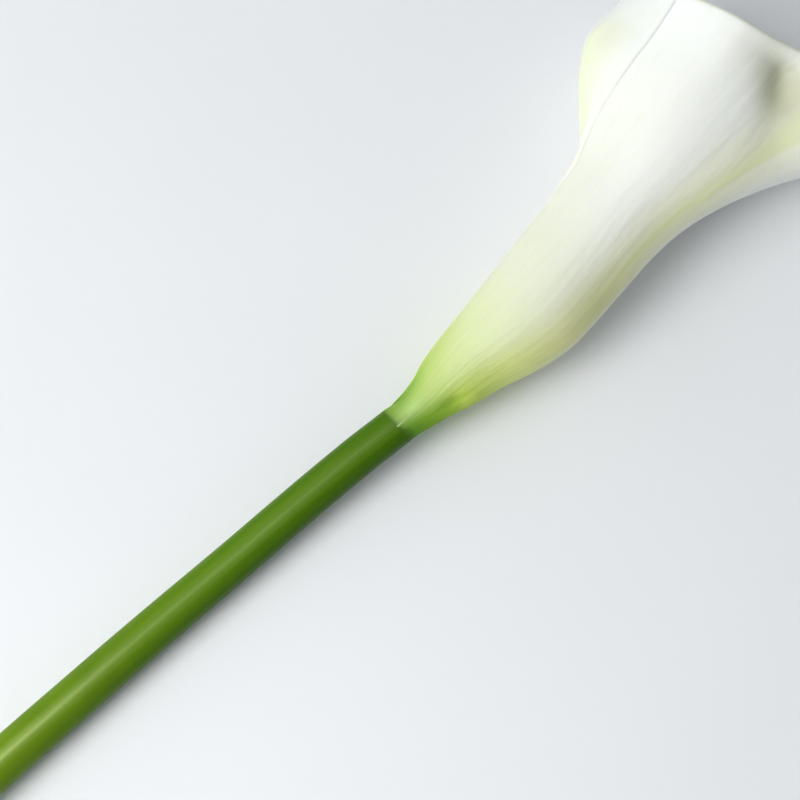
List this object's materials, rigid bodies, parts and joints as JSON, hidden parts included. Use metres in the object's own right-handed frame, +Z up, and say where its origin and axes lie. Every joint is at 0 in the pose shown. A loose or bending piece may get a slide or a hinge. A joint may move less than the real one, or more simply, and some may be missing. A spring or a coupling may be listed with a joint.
{
  "type": "calla lily flower",
  "caption": "Cut calla lily flower lying down: fleshy stem, rolled white spathe with a flared limb, and a yellow floret-covered spadix inside.",
  "frame": {"origin": "on the resting surface, under the middle of the whole flower", "axes": "+X from the cut end of the stem to the mouth of the spathe, +Z up from the surface that the flower lies on"},
  "size_m": [0.4584, 0.0876, 0.0565],
  "materials": {
    "stem_green": "smooth, waxy, soft sheen",
    "spathe_white": "matt velvety white, green at the base and along the midrib",
    "spadix_yellow": "matt, powdery"
  },
  "bodies": {
    "root": {"peduncle": "stem_green", "spathe": "spathe_white", "spadix": "spadix_yellow"}
  },
  "joints": []
}
